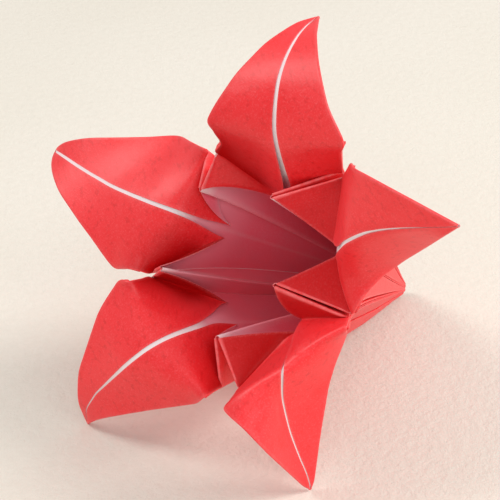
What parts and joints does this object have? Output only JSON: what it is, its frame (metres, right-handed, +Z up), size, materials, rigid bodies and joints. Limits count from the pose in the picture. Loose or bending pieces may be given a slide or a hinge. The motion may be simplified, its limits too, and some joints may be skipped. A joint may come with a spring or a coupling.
{
  "type": "origami lily",
  "caption": "Folded paper lily lying on its side, made from one sheet: a tapered funnel with closed pleats opening into curled pointed petals.",
  "frame": {"origin": "middle of the bounding box, on the surface that the flower lies on", "axes": "+Z up; the funnel's mouth faces -Y and up and its closed point lies at the +X +Y end; +X is to the right when facing the mouth"},
  "size_m": [0.0544, 0.06, 0.0563],
  "materials": {
    "red_paper": "uncoated paper, red on one side and white on the other, with creased folds"
  },
  "bodies": {
    "root": {"folded_sheet": "red_paper"}
  },
  "joints": []
}
